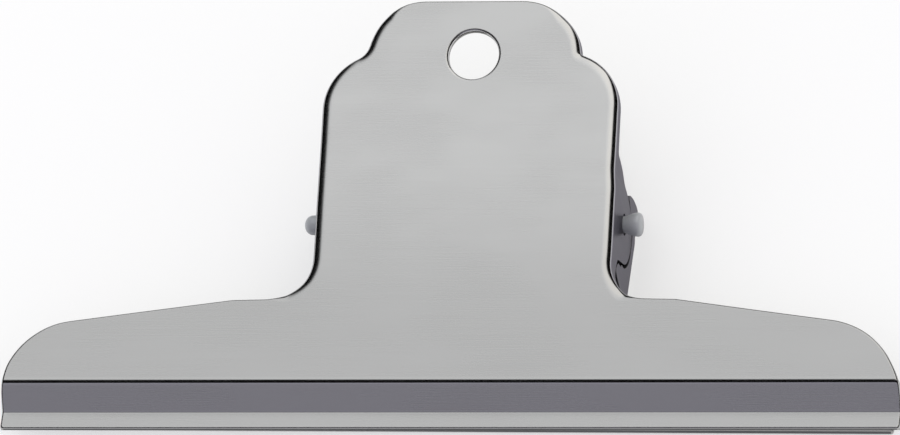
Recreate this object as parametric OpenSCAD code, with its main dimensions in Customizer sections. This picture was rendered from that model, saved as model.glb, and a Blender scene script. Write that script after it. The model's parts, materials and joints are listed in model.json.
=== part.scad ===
// Wide letter clip: two pressed sheet plates, each a jaw and a thumb handle,
// turn on a cross pin and are pushed shut by a double torsion spring.
// The rear plate lies flat on Z = 0. The origin is on its back face, straight under
// the pin. +X runs along the jaw, +Y towards the handles and +Z up through the clip.
// Inside a plate's own modules, X is across, Y is the height above the lip's lower
// edge, and Z is the depth behind the plate's outer face.

/* [Sheet] */
// Thickness of the pressed sheet
sheet_t = 0.9; // [0.7:0.05:1.1]

/* [Jaw] */
// Length of the front jaw
jaw_w = 129.2; // [116:0.2:150]
// How much shorter the rear jaw is at each end
rear_jaw_trim = 1; // [0.8:0.1:3]
// How much shorter the rear lip is, so that paper finds the jaw
rear_lip_trim = 1.2; // [0:0.1:1.6]
// Height of the bend between the flat plate and the lip
bend_h = 6.7; // [6:0.1:8]
// Height of the pressed valley that grips the paper
valley_h = 2.8; // [2.2:0.1:3.4]
// Depth of the valley's outer face
valley_depth = 2.25; // [1.9:0.05:2.5]
// Depth of the lip's outer face at its lower edge
lip_depth = 0.95; // [0.6:0.05:1.3]
// Space between the two closed valleys
jaw_gap = 0.2; // [0.1:0.05:0.4]
// Height of the wings where they leave the handle
wing_h = 19.35; // [18:0.05:21]
// Fall of the wing's upper edge in degrees
wing_fall = 7.8; // [6:0.1:9]
// Radius of the jaw's upper corners
jaw_corner_r = 11.4; // [8:0.1:12]

/* [Handle] */
// Full width of the handle at its folded sides
handle_w = 42.7; // [40:0.1:46]
// Height of the handle's top edge
handle_h = 63.8; // [62:0.1:70]
// Radius of the hollow corner between handle and wing
hollow_r = 6; // [5:0.1:6.5]
// Radius of the shoulder
shoulder_r = 8.8; // [8.4:0.1:9.2]
// Height where the shoulder starts to curve in
shoulder_h = 47.1; // [46:0.1:47.6]
// How far the shoulder turns in, in degrees
shoulder_turn = 67.5; // [60:3.75:67.5]
// Width of the narrower head above the shoulders
head_w = 30.5; // [29:0.1:31]
// Radius of the head's corners
head_r = 8.5; // [7.6:0.1:8.8]
// Radius of the hanging holes
hole_r = 3.6; // [3:0.1:4.2]
// Distance of a hanging hole's centre from the top edge
hole_drop = 8.15; // [7:0.05:9]

/* [Pivot] */
// Height of the pin's axis above the lip's lower edge
pin_h = 33.05; // [32:0.05:34]
// Depth of the pin's axis behind each plate's outer face
pin_depth = 8.4; // [8.2:0.05:9.4]
// Diameter of the pin
pin_d = 3; // [2.6:0.1:3.2]
// How far the pin stands out of the ears
pin_over = 3; // [2:0.1:4]
// Diameter of the spread ends of the pin
pin_end_d = 3.5; // [3.3:0.05:3.8]
// Length of the spread ends
pin_end_l = 0.9; // [0.6:0.05:1.2]
// Radial clearance of the front ears on the pin
pin_clear = 0.06; // [0.03:0.01:0.1]
// Radius of the ears round the pin
ear_r = 5.2; // [5:0.05:5.3]
// Space between the front ears and the rear ears inside them
ear_gap = 0.3; // [0.2:0.05:0.4]
// Space between the turning front ears and the rear plate's folded sides
sweep_gap = 0.8; // [0.6:0.05:0.9]

/* [Folded sides] */
// Depth of the folded side at the shoulder
side_depth = 2.2; // [1.9:0.05:2.4]
// Depth of the folded side on the head
head_side_depth = 1.7; // [1.4:0.05:1.8]
// Height where the front ear leaves the folded side
ear_top_h = 41.4; // [41:0.1:42]
// Depth of the folded side where the front ear leaves it
ear_top_depth = 2.5; // [2.4:0.05:2.8]
// Height of the front ear's lower corner
ear_low_h = 27; // [26.5:0.1:27.6]
// Depth of the front ear's lower corner
ear_low_depth = 4.6; // [4:0.1:5]
// Height of the top of the rear plate's folded sides
rear_side_h = 40.2; // [39.9:0.1:40.8]
// Depth of the rear plate's folded sides on the handle's side of the front ear
rear_side_depth = 6.9; // [5:0.1:7]
// Depth of the rear plate's folded sides on the jaw's side of the front ear
rear_horn_depth = 9.6; // [8.6:0.1:9.8]
// Height of the jaw end of the rear plate's folded sides, where they are deepest
rear_horn_h = 24; // [23.8:0.1:25]

/* [Spring] */
// Diameter of the spring wire
wire_d = 1.6; // [1.4:0.05:1.8]
// Space between neighbouring turns of the wire
turn_gap = 0.6; // [0.5:0.05:0.8]
// Space between the pin and the inside of the coils
coil_clear = 0.7; // [0.5:0.05:0.9]
// Full turns in each coil, besides its half turn
coil_turns = 3; // [2:1:4]
// Distance of each coil's inner end from the middle
coil_start = 4.5; // [4:0.1:6]
// Reach of the spring's arms from the pin
arm_reach = 16; // [14:0.5:18]
// Space between the spring's arms and the plates
arm_gap = 0.3; // [0.2:0.05:0.4]
// Radius of the spring's bends
wire_bend_r = 2; // [1.8:0.1:2.2]

/* [Hidden] */
$fn = 96;

// Overrun of every cut, as a length that follows the sheet
cut = sheet_t;
hw = handle_w / 2;
jaw_half = jaw_w / 2;
rear_jaw_half = jaw_half - rear_jaw_trim;
pin_r = pin_d / 2;

// The two folds of the lip, and the valley's inner tip, which is the contact line
fold_out = atan2(valley_depth, bend_h - valley_h);
fold_back = atan2(valley_depth - lip_depth, valley_h);
tip_depth = valley_depth + sheet_t * cos((fold_out - fold_back) / 2) / cos((fold_out + fold_back) / 2);
tip_h = valley_h + sheet_t * sin((fold_out - fold_back) / 2) / cos((fold_out + fold_back) / 2);

// Each plate leans half the angle between them, so that the valleys close to the gap
tip_arm = pin_h - tip_h;
tip_rise = pin_depth - tip_depth;
half_lean = atan2(tip_rise, tip_arm) - asin(jaw_gap / 2 / norm([tip_arm, tip_rise]));
lean = 2 * half_lean;

// The wing's upper edge starts under the hollow corner and ends on the corner's circle
wing_x = hw + 1.2 * hollow_r;
function wing_top(x) = wing_h - (x - wing_x) * tan(wing_fall);
function corner_x(half) = half - jaw_corner_r;
function corner_h(half) = wing_top(corner_x(half)) - jaw_corner_r / cos(wing_fall);

// The shoulder's slanted end runs straight to the side of the head
head_half = head_w / 2;
slant = (hw - shoulder_r + shoulder_r * cos(shoulder_turn) - head_half) / sin(shoulder_turn);
notch_h = shoulder_h + shoulder_r * sin(shoulder_turn) + slant * cos(shoulder_turn);
head_fade_h = handle_h - head_r / 4;
hollow_h = wing_h + hollow_r;
side_fade_h = wing_h + hollow_r / 3;

// The rear ears lie inside the front ears
rear_ear_x = hw - sheet_t - ear_gap;
rear_seat_depth = pin_depth - ear_r - sweep_gap;
pin_half = hw + pin_over;

// The point where a line from p touches the circle of radius r round c, on side s
function touch(p, c, r, s) =
    let (d = p - c, a = atan2(d[1], d[0]) + s * acos(r / norm(d)))
    c + r * [cos(a), sin(a)];
pin_c = [pin_h, pin_depth];

// Lays an outline of height and depth upright and draws it out along X
module along_x(length) {
    rotate([90, 0, 90]) linear_extrude(length, center = true) children();
}

// Puts both of a mirrored pair
module pair() {
    children();
    mirror([1, 0, 0]) children();
}

// Outline of a jaw with its two wings, down to a given foot
module jaw_outline(half, foot) {
    cx = corner_x(half);
    ch = corner_h(half);
    touch_x = cx + jaw_corner_r * sin(wing_fall);
    touch_h = ch + jaw_corner_r * cos(wing_fall);
    pair() intersection() {
        union() {
            polygon([[-cut, foot], [half, foot], [half, ch], [cx, ch],
                     [touch_x, touch_h], [wing_x, wing_h], [-cut, wing_h]]);
            translate([cx, ch]) circle(jaw_corner_r);
        }
        translate([-cut, foot]) square([half + cut, handle_h - foot]);
    }
}

// The head with rounded corners, drawn inwards by inset, from a given height up
module head_outline(inset, from_h) {
    pair() {
        translate([-cut, from_h]) square([head_half - inset + cut, handle_h - head_r - from_h]);
        translate([-cut, from_h]) square([head_half - head_r + cut, handle_h - inset - from_h]);
        translate([head_half - head_r, handle_h - head_r]) circle(head_r - inset);
    }
}

// The lower handle with its hollow corners, up to a given height
module neck_outline(inset, to_h) {
    pair() {
        translate([-cut, hollow_h]) square([hw - inset + cut, to_h - hollow_h]);
        difference() {
            translate([-cut, wing_h]) square([hw + hollow_r + cut, hollow_r]);
            translate([hw + hollow_r, hollow_h]) circle(hollow_r + inset);
        }
    }
}

// Outline of the front handle, drawn inwards by inset
module front_handle_outline(inset) {
    r = shoulder_r - inset;
    a = shoulder_turn;
    at = [hw - shoulder_r + r * cos(a), shoulder_h + r * sin(a)];
    end = at + slant * [-sin(a), cos(a)];
    neck_outline(inset, shoulder_h);
    head_outline(inset, shoulder_h);
    pair() {
        translate([hw - shoulder_r, shoulder_h]) circle(r);
        polygon([[-cut, shoulder_h - cut], [hw - shoulder_r, shoulder_h - cut],
                 [hw - shoulder_r, shoulder_h], at, end, [-cut, end[1]]]);
    }
}

// Outline of the rear handle: full width to the top of the folded sides, then the head
module rear_handle_outline(inset) {
    neck_outline(inset, rear_side_h);
    head_outline(inset, hollow_h);
}

// The bent lip of a jaw: out to the valley and back, down to a given foot
module lip(half, foot) {
    plate_mid = sheet_t * tan(fold_out / 2);
    lip_turn = sheet_t / cos(fold_back);
    intersection() {
        along_x(2 * half + cut) polygon([
            [bend_h, 0], [valley_h, valley_depth], [0, lip_depth], [0, lip_depth + lip_turn],
            [tip_h, tip_depth], [bend_h + plate_mid, sheet_t], [bend_h + 2 * plate_mid, sheet_t],
            [bend_h + 2 * plate_mid, 0]]);
        translate([0, 0, -cut]) linear_extrude(tip_depth + 2 * cut) jaw_outline(half, foot);
    }
}

// The flat of a plate above the lip, from the outline given as a child, with its hole
module flat_plate(half) {
    difference() {
        linear_extrude(sheet_t) intersection() {
            union() {
                children();
                jaw_outline(half, 0);
            }
            translate([-half, bend_h]) square([2 * half, handle_h - bend_h]);
        }
        translate([0, handle_h - hole_drop, -cut]) cylinder(r = hole_r, h = sheet_t + 2 * cut);
    }
}

// Side view of the front plate's folded side with its ear
module front_side_outline() {
    upper = touch([ear_top_h, ear_top_depth], pin_c, ear_r, 1);
    lower = touch([ear_low_h, ear_low_depth], pin_c, ear_r, -1);
    polygon([[head_fade_h, 0], [head_fade_h, sheet_t], [(notch_h + head_fade_h) / 2, head_side_depth],
             [notch_h, head_side_depth], [shoulder_h, side_depth], [ear_top_h, ear_top_depth],
             upper, pin_c, lower, [ear_low_h, ear_low_depth],
             [hollow_h - hollow_r / 3, side_depth], [side_fade_h, sheet_t], [side_fade_h, 0]]);
    translate(pin_c) circle(ear_r);
}

// Side view of the rear plate's folded side, cut round for the turning front ear
module rear_side_outline() {
    difference() {
        polygon([[rear_side_h, 0], [rear_side_h, rear_side_depth - 3 * sheet_t],
                 [rear_side_h - sheet_t, rear_side_depth], [pin_h, rear_side_depth],
                 [ear_low_h, rear_side_depth],
                 [ear_low_h - sheet_t, rear_horn_depth - 0.4 * sheet_t],
                 [rear_horn_h, rear_horn_depth], [rear_horn_h - sheet_t, rear_horn_depth - sheet_t],
                 [hollow_h - hollow_r / 2, side_depth], [side_fade_h, sheet_t], [side_fade_h, 0]]);
        translate(pin_c) circle(ear_r + sweep_gap);
    }
}

// Side view of the rear ear, from its seat up to and round the pin
module rear_ear_outline() {
    translate([pin_h - ear_r, rear_seat_depth - sheet_t])
        square([2 * ear_r, pin_depth - rear_seat_depth + sheet_t]);
    translate(pin_c) circle(ear_r);
}

// The front plate's folded sides follow its handle's outline
module front_sides() {
    difference() {
        intersection() {
            linear_extrude(pin_depth + ear_r + cut) difference() {
                front_handle_outline(0);
                front_handle_outline(sheet_t);
            }
            along_x(2 * (hw + hollow_r)) front_side_outline();
        }
        translate([0, pin_h, pin_depth]) rotate([0, 90, 0])
            cylinder(r = pin_r + pin_clear, h = handle_w + cut, center = true);
    }
}

// The rear plate's folded sides, with the ears stepped in to pass inside the front ears
module rear_sides() {
    intersection() {
        linear_extrude(rear_horn_depth + cut) difference() {
            neck_outline(0, rear_side_h);
            neck_outline(sheet_t, rear_side_h);
        }
        along_x(2 * (hw + hollow_r)) rear_side_outline();
    }
    pair() {
        translate([rear_ear_x - sheet_t, pin_h - ear_r, rear_seat_depth - sheet_t])
            cube([hw - rear_ear_x + sheet_t, 2 * ear_r, sheet_t]);
        difference() {
            translate([rear_ear_x - sheet_t / 2, 0, 0]) along_x(sheet_t) rear_ear_outline();
            translate([rear_ear_x - sheet_t / 2, pin_h, pin_depth]) rotate([0, 90, 0])
                cylinder(r = pin_r, h = sheet_t + cut, center = true);
        }
    }
}

module front_plate() {
    color([0.78, 0.78, 0.80])
    translate([0, 0, pin_depth]) rotate([lean, 0, 0]) translate([0, -pin_h, pin_depth])
        mirror([0, 0, 1]) {
            flat_plate(jaw_half) front_handle_outline(0);
            lip(jaw_half, 0);
            front_sides();
        }
}

module rear_plate() {
    color([0.70, 0.70, 0.73])
    translate([0, -pin_h, 0]) {
        flat_plate(rear_jaw_half) rear_handle_outline(0);
        lip(rear_jaw_half, rear_lip_trim);
        rear_sides();
    }
}

// The pin, with spread and slightly domed ends
module pivot_pin() {
    dome = pin_end_l / 3;
    color([0.66, 0.67, 0.68])
    translate([0, 0, pin_depth]) rotate([0, 90, 0]) rotate_extrude() polygon([
        [0, -pin_half], [pin_r, -pin_half], [pin_end_d / 2, -pin_half + dome],
        [pin_r, -pin_half + pin_end_l], [pin_r, pin_half - pin_end_l],
        [pin_end_d / 2, pin_half - dome], [pin_r, pin_half], [0, pin_half]]);
}

// The spring's wire runs from the rear arm of one coil through both coils in one piece.
wire_r = wire_d / 2;
coil_r = pin_r + coil_clear + wire_r;
turn_step = wire_d + turn_gap;
// Angle at which a straight arm dips from the coil to lie against its plate
arm_drop = pin_depth - sheet_t - wire_r - arm_gap;
arm_dip = asin((arm_drop - coil_r) / arm_reach);
// From the rear arm the wire turns back over the jaw side, then round, to the front arm
coil_angle = 180 + 360 * coil_turns - lean - 2 * arm_dip;
coil_l = turn_step * coil_angle / 360;
coil_rings = ceil(coil_angle / 45);
bend_steps = 4;
// The arm's end lies flat against the plate for a length of one wire
function turned(p, a) = [p[0], p[1] * cos(a) - p[2] * sin(a), p[1] * sin(a) + p[2] * cos(a)];
arm_end_y = arm_reach * cos(arm_dip) - coil_r * sin(arm_dip);
function rear_arm(x) = [[x, arm_end_y + 2 * wire_d, -arm_drop], [x, arm_end_y + wire_d, -arm_drop]];
function front_arm(x) = turned([x, arm_end_y, arm_drop], lean);
// The coil starts under the pin, climbs on the jaw side and leaves over the pin
coil_half = [for (i = [0:coil_rings]) let (a = -90 - arm_dip - coil_angle * i / coil_rings)
    [-coil_start - coil_l * (1 - i / coil_rings), coil_r * cos(a), coil_r * sin(a)]];
bridge_half = [for (i = [0:bend_steps]) let (a = 90 * i / bend_steps)
    turned([-coil_start + wire_bend_r * (1 - cos(a)),
            arm_end_y + wire_bend_r * sin(a), arm_drop], lean)];
left_half = concat(rear_arm(-coil_start - coil_l), coil_half, bridge_half);
count = len(left_half);
wire_path = concat(left_half, [for (i = [count - 1:-1:0]) [-left_half[i][0], left_half[i][1], left_half[i][2]]]);

// A tube of six sides along a path: each ring's side vector follows the one before it
function unit(v) = v / norm(v);
function tangent(p, i) = unit(p[min(i + 1, len(p) - 1)] - p[max(i - 1, 0)]);
function flat_to(v, t) = unit(v - (v * t) * t);
function side_vectors(p) =
    [for (i = 0, s = flat_to([1, 0, 0], tangent(p, 0)); i < len(p);
          i = i + 1, s = i < len(p) ? flat_to(s, tangent(p, i)) : s) s];
module tube(path, r, sides) {
    s = side_vectors(path);
    n = len(path);
    pts = [for (i = [0:n - 1], k = [0:sides - 1])
        let (a = 360 * k / sides, t = tangent(path, i), w = cross(t, s[i]))
        path[i] + r * (cos(a) * s[i] + sin(a) * w)];
    skin = [for (i = [0:n - 2], k = [0:sides - 1])
        let (a = i * sides + k, b = i * sides + (k + 1) % sides)
        each [[a, b + sides, b], [a, a + sides, b + sides]]];
    caps = [for (k = [1:sides - 2]) each [[0, k, k + 1],
        [(n - 1) * sides, (n - 1) * sides + k + 1, (n - 1) * sides + k]]];
    polyhedron(pts, concat(skin, caps));
}

// Least space between stretches of the wire that are not neighbours
function gap_between(p, i, j) =
    min([for (a = [0:0.25:1]) norm(p[i] + a * (p[i + 1] - p[i]) - p[j])]) - wire_d;
apart = ceil(360 / 45) - 2;
least_gap = min([for (i = [0:len(wire_path) - 2], j = [0:len(wire_path) - 1])
    if (abs(i - j) >= apart) gap_between(wire_path, i, j)]);
echo(least_gap = least_gap);

module spring() {
    color([0.35, 0.35, 0.37])
    translate([0, 0, pin_depth]) tube(wire_path, wire_r, 6);
}

front_plate();
rear_plate();
pivot_pin();
spring();
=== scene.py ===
# %% [markdown]
# A wide letter clip is two pressed sheet plates, a riveted pin and one bent wire.
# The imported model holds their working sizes, so this script starts from that frame
# and dresses each piece with a finished mesh and a metal finish.

# %% Load the frame
import json
import math
import bmesh
import bpy
from mathutils import Matrix, Vector
from mathutils.geometry import tessellate_polygon
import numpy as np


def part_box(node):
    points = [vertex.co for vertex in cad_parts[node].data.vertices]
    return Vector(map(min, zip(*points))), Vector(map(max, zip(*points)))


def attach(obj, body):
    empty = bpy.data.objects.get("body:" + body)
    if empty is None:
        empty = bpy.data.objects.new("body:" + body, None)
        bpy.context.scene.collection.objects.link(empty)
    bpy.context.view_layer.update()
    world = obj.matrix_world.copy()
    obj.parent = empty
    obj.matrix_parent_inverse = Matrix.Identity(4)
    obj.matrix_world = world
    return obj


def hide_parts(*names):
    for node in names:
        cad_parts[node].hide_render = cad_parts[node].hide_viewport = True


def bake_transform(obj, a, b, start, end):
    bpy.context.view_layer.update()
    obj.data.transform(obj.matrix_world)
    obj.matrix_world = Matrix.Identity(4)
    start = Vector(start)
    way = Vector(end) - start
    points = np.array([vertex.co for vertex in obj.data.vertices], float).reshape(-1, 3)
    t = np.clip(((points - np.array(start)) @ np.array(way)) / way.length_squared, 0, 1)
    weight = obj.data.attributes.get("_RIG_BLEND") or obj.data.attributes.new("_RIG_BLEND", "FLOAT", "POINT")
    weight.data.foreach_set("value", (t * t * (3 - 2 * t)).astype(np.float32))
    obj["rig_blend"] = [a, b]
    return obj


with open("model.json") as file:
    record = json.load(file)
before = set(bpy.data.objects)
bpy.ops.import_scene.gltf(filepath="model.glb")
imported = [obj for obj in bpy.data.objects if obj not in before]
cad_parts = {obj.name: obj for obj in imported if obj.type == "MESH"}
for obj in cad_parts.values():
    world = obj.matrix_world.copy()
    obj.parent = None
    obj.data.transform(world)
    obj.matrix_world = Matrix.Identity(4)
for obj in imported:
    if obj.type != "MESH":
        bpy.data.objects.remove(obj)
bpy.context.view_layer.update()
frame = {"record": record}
MM = 0.001

# %% [markdown]
# The overall sizes are read off the frame's boxes and mounts, so the dressed pieces
# always sit where the working model has them. Heights are counted up from the foot
# of the front lip, and the pin's height above it ties them to the frame's origin.

# %% Measure the frame
mounts = {m["name"]: m for m in frame["record"]["mounts"]}


def box_mm(node):
    low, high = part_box(node)
    return Vector(low) / MM, Vector(high) / MM


rear_low, rear_high = box_mm("rear_plate")
pin_low, pin_high = box_mm("pivot_pin")
jaw_half = box_mm("front_plate")[1].x
rear_jaw_half = rear_high.x
pin_half = pin_high.x
pin_depth = (pin_low.z + pin_high.z) / 2
pin_height = 33.05
plate_height = rear_high.y + pin_height
rear_foot = rear_low.y + pin_height
hole_radius = mounts["rear_hanging_hole"]["dims"]["r_mm"]
sheet = mounts["rear_hanging_hole"]["dims"]["length_mm"]
hole_height = mounts["rear_hanging_hole"]["pos_m"][1] / MM + pin_height
front_normal = Vector(mounts["front_hanging_hole"]["axis"])
lean = math.atan2(-front_normal.y, front_normal.z)
print("jaw", 2 * jaw_half, "sheet", sheet, "lean in degrees", round(math.degrees(lean), 2))

# %% [markdown]
# Every size below is in millimetres. These draw the pressing's outline, the fold
# above its lip, and the ears that the pin passes through.

# %% Sizes of the pressing
pin_over = 3.0
handle_half = pin_half - pin_over
head_half = 15.45
head_radius = 8.5
shoulder_radius = 8.4
shoulder_height = 47.8
shoulder_turn = math.radians(67.5)
hollow_radius = 6.0
hollow_foot = 19.03
hollow_run = 4.5
wing_height = 19.55
wing_fall = math.radians(7.8)
corner_radius = 11.4
fold_height = 6.7
valley_height = 2.8
valley_depth = 2.25
lip_depth = 1.25
pin_radius = 1.5
ear_radius = 5.2
front_ear_radius = 5.68
ear_gap = 0.3
sweep_gap = 0.9
pin_clear = 0.06
print("handle", round(2 * handle_half, 2), "mm wide")

# %% [markdown]
# A press never leaves a square corner. Bends roll in before they turn, and cut edges
# keep a small burr. Without these few tenths sheet metal looks like card.

# %% Sizes of bends and edges
roll_radius = 2.2
roll_turn = math.radians(28)
bend_radius = 0.75
inner_bend = 0.22
edge_bend = 0.33
burr_round = 0.1
fold_radius = 1.55
valley_radius = 0.15
lip_corner = 0.55
notch_radius = 0.6
left_notch_radius = 3.0
front_foot = 0.16
rear_foot_drop = 0.24
print("bends of", bend_radius, "mm in sheet of", sheet, "mm")

# %% [markdown]
# A cheap pressing is never quite true. Its outline wanders a few tenths of a
# millimetre to the side, one wing stands higher, and the rear plate sits askew on
# the pin. Smooth steps on a place's height and side bend the regular outline so,
# and both plates go through them before they are set in the frame.

# %% As pressed
DRIFT = [(0.0, -0.25), (6.0, -0.36), (10.0, -0.64), (13.5, -0.7), (16.2, -0.88), (22.0, 0.2),
         (26.0, 0.24), (35.0, 0.16), (40.0, 0.14), (48.8, 0.07), (58.0, 0.12), (63.8, -0.24)]
RIGHT_LIFT, LIFT_ALONG, LIFT_STARTS, LIFT_ENDS = 0.08, (18.0, 30.0), (11.0, 16.0), (20.0, 25.0)
RIGHT_SWELL, SWELL_ALONG, SWELL_STARTS, SWELL_ENDS = 0.25, (10.0, 20.0), (19.0, 26.0), (35.0, 39.0)
REAR_SKEW = math.radians(-0.38)


def ramp(value, low, high):
    """0 below low, 1 above high, and a smooth step between them."""
    t = min(1.0, max(0.0, (value - low) / (high - low)))
    return t * t * (3 - 2 * t)


def drift(height):
    """How far the outline wanders to the right at a height, eased between the listed ones."""
    for (h0, d0), (h1, d1) in zip(DRIFT, DRIFT[1:]):
        if height <= h1:
            return d0 + (d1 - d0) * ramp(height, h0, h1)
    return DRIFT[-1][1]


def lift(x, height):
    """How far the right wing stands higher than the left one."""
    return RIGHT_LIFT * ramp(x, *LIFT_ALONG) * ramp(height, *LIFT_STARTS) * (1 - ramp(height, *LIFT_ENDS))


def swell(x, height):
    """How far the handle's right side bulges out at the pin."""
    return RIGHT_SWELL * ramp(x, *SWELL_ALONG) * ramp(height, *SWELL_STARTS) * (1 - ramp(height, *SWELL_ENDS))


print("drift at the pin", round(drift(pin_height), 2), "mm")

# %% [markdown]
# The two plates face each other, so each has its own way from the flat blank into
# the frame. The front plate leans about the pin's axis, and the rear one lies flat
# on its outer face.

# %% Places on the plates


def front_point(x, height, depth):
    """A place on the front plate in the frame: depth is measured behind its outer face."""
    y, z = height - pin_height, pin_depth - depth
    c, s = math.cos(lean), math.sin(lean)
    return Vector((x, y * c - z * s, y * s + z * c + pin_depth))


def rear_point(x, height, depth):
    """The same place on the rear plate, which lies on its outer face, a hair askew on its pin."""
    y = height - pin_height
    c, s = math.cos(REAR_SKEW), math.sin(REAR_SKEW)
    return Vector((x * c - y * s, x * s + y * c, depth))


print("front foot at", [round(v, 2) for v in front_point(0, 0, 0)])

# %% [markdown]
# The camera looks down on the clip, a little from the right, and from so far off
# that there is almost no perspective. Its direction comes from the round hole, the
# level lip and the leaning centre line. A long lens fills the picture with the jaw.

# %% Camera
VIEW_TURN = math.radians(11.3)
VIEW_LEAN = math.radians(19.76)
PIXELS_PER_MM = 7.085
FRAME_WIDTH_PX = 900
FRAME_HEIGHT_PX = 435
ANCHOR_PX = (460.4, 233.6)
ANCHOR_HEIGHT = 28.75
CAMERA_DISTANCE = 2950.0
CAMERA_ROLL = math.radians(0.13)
SENSOR_MM = 36.0
NEAREST, FARTHEST = 0.1, 4.0

tilt = lean + VIEW_LEAN
view_up = Vector((0, math.cos(tilt), math.sin(tilt)))
view_back = Vector((math.sin(VIEW_TURN), -math.cos(VIEW_TURN) * math.sin(tilt),
                    math.cos(VIEW_TURN) * math.cos(tilt)))
view_right = view_up.cross(view_back)
shift_right = (FRAME_WIDTH_PX / 2 - ANCHOR_PX[0]) / PIXELS_PER_MM
shift_up = (ANCHOR_PX[1] - FRAME_HEIGHT_PX / 2) / PIXELS_PER_MM
target = front_point(0, ANCHOR_HEIGHT, 0) + shift_right * view_right + shift_up * view_up
upright = Matrix((view_right, view_up, view_back)).transposed()
axes = Matrix.Rotation(-CAMERA_ROLL, 3, view_back) @ upright
lens = bpy.data.cameras.new("studio_camera")
lens.sensor_width = SENSOR_MM
lens.lens = SENSOR_MM * CAMERA_DISTANCE * PIXELS_PER_MM / FRAME_WIDTH_PX
lens.clip_start = CAMERA_DISTANCE * MM * NEAREST
lens.clip_end = CAMERA_DISTANCE * MM * FARTHEST
camera = bpy.data.objects.new("studio_camera", lens)
camera.matrix_world = Matrix.Translation((target + view_back * CAMERA_DISTANCE) * MM) @ axes.to_4x4()
bpy.context.collection.objects.link(camera)
bpy.context.scene.camera = camera
bpy.context.scene.view_settings.view_transform = "Standard"
print("lens", round(lens.lens, 1), "mm")

# %% [markdown]
# Shader maths reads best as plain expressions. This small class stands for one
# socket, and Python's own operators add the Math nodes, so a mask can be inverted
# with 1 - mask. Every other node comes from one method of the graph.

# %% Shader expressions


class Socket:
    """One output of a node graph, or a part of an expression on it."""

    def __init__(self, graph, output):
        self.graph = graph
        self.output = output

    def maths(self, operation, *values):
        return self.graph.node("Math", {"operation": operation}, values)

    def __add__(self, other):
        return self.maths("ADD", self, other)

    __radd__ = __add__

    def __sub__(self, other):
        return self.maths("SUBTRACT", self, other)

    def __rsub__(self, other):
        return self.maths("SUBTRACT", other, self)

    def __mul__(self, other):
        return self.maths("MULTIPLY", self, other)

    __rmul__ = __mul__

    def rise(self, low, high):
        """0 below low, 1 above high, and a smooth step between them."""
        return self.graph.node("MapRange", {"interpolation_type": "SMOOTHSTEP"}, {0: self, 1: low, 2: high})

    def held(self):
        """The value kept between 0 and 1."""
        return self.graph.node("Clamp", {}, (self,))

    def outputs(self, *names):
        """Other outputs of the node that this one belongs to."""
        return [Socket(self.graph, self.output.node.outputs[name]) for name in names]


class Graph:
    """The nodes of one material or world."""

    def __init__(self, owner):
        owner.use_nodes = True
        self.tree = owner.node_tree
        self.tree.nodes.clear()

    def node(self, kind, settings, values=(), out=0):
        """Adds a node: its settings are set first, and then the values or links of its sockets."""
        node = self.tree.nodes.new("ShaderNode" + kind)
        for name, value in settings.items():
            setattr(node, name, value)
        pairs = values.items() if isinstance(values, dict) else enumerate(values)
        for key, value in pairs:
            if isinstance(value, Socket):
                self.tree.links.new(value.output, node.inputs[key])
            else:
                node.inputs[key].default_value = value
        return Socket(self, node.outputs[out]) if len(node.outputs) else node

    def mixed(self, factor, first, second):
        """A colour between two colours."""
        return self.node("Mix", {"data_type": "RGBA"}, {0: factor, 6: first, 7: second}, out=2)


def grey(value, warm=0.0):
    """A grey colour, warmed by a small amount."""
    return (value * (1 + warm), value, value * (1 - warm), 1.0)


print("shader helpers ready")

# %% [markdown]
# Metal shows the room more than itself. The studio here is a world with a few soft
# windows of light: a broad one overhead that the plate mirrors, a card in front for
# the band under the fold, and dark gaps between them that draw the black lines
# along the bends. Each window is a product of smooth steps on the direction's own
# coordinates. Only mirrors see the windows, and everything else has even light.

# %% Studio light
HORIZON = (0.0, 0.15)
LEFT_EDGE, RIGHT_EDGE = (-0.55, -0.38), (0.42, 0.56)
OVERHEAD_NEAR, OVERHEAD_FAR = (-0.3, -0.12), (0.72, 0.84)
CARD_EDGE, CARD_SHADE = (-0.76, -0.68), (-0.84, -0.79)
SIDE_EDGE = (0.96, 0.995)
OVERHEAD_LEVEL, OVERHEAD_RISE, OVERHEAD_TURN = 0.87, 0.22, (-0.22, 0.18)
CARD_LEVEL, CARD_RISE = 0.3, 0.16
SIDE_LEVEL = 0.8
COOL_LIGHT, WARM_LIGHT, LIGHT_TURN = (0.985, 0.995, 1.0, 1.0), (1.0, 0.985, 0.95, 1.0), (-0.1, 0.2)
CARD_LIGHT, CARD_TURN = (0.95, 0.93, 1.07, 1.0), (-0.68, -0.3)

world = bpy.data.worlds.new("studio")
bpy.context.scene.world = world
g = Graph(world)
direction = g.node("TexCoord", {})
dir_x, dir_y, dir_z = g.node("SeparateXYZ", {}, (direction,)).outputs("X", "Y", "Z")
window = dir_z.rise(*HORIZON) * dir_x.rise(*LEFT_EDGE) * (1 - dir_x.rise(*RIGHT_EDGE))
overhead = window * dir_y.rise(*OVERHEAD_NEAR) * (1 - dir_y.rise(*OVERHEAD_FAR))
front_card = window * (1 - dir_y.rise(*CARD_EDGE))
side_glow = dir_x.rise(*SIDE_EDGE) + (-1 * dir_x).rise(*SIDE_EDGE)
level = ((OVERHEAD_LEVEL + OVERHEAD_RISE * dir_x.rise(*OVERHEAD_TURN)) * overhead
         + (CARD_LEVEL + CARD_RISE * dir_y.rise(*CARD_SHADE)) * front_card + SIDE_LEVEL * side_glow)
tone = g.mixed(dir_x.rise(*LIGHT_TURN), COOL_LIGHT, WARM_LIGHT)
tone = g.mixed(dir_y.rise(*CARD_TURN), CARD_LIGHT, tone)
mirrored, = g.node("LightPath", {}).outputs("Is Glossy Ray")
glow = g.node("Background", {}, {"Color": tone, "Strength": level * mirrored + (1 - mirrored)})
g.node("OutputWorld", {}, {"Surface": glow})
print("studio world of", len(g.tree.nodes), "nodes")

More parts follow.
